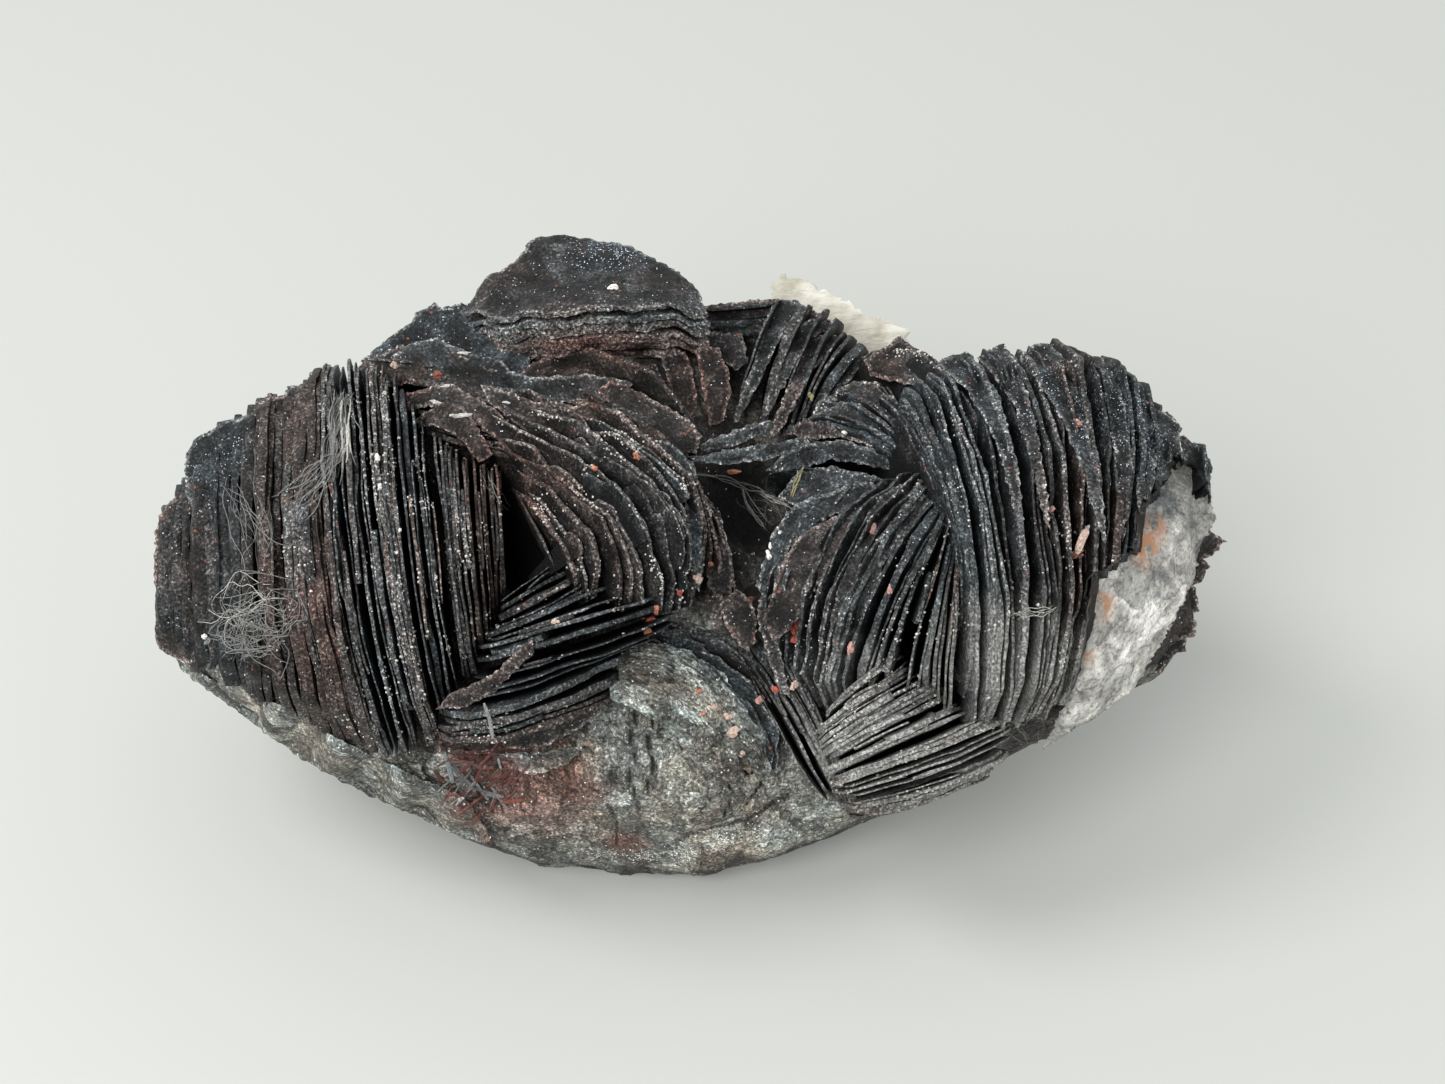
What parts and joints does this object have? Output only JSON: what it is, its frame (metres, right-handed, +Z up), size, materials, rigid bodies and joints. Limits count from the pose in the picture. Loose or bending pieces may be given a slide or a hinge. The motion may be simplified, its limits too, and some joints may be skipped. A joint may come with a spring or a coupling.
{
  "type": "specular hematite specimen",
  "caption": "Cabinet-size cluster of plate-like metallic crystals in two rosettes, with a top block of thick plates and pale matrix at one end.",
  "frame": {"origin": "centre of the bounding box's bottom, at the level of the flat that the specimen rests on", "axes": "+Z up, +X along the specimen's length towards the end with the pale crust, -Y towards the viewer"},
  "size_m": [0.1134, 0.0614, 0.0558],
  "materials": {
    "specular_hematite": "natural crystal faces, dark steel grey with a brown tinge, glinting, edges paler",
    "pale_matrix": "natural broken stone, greyish white to cream with rusty stain"
  },
  "bodies": {
    "root": {"hematite_cluster": "specular_hematite", "matrix_crust": "pale_matrix", "matrix_flake": "pale_matrix"}
  },
  "joints": []
}
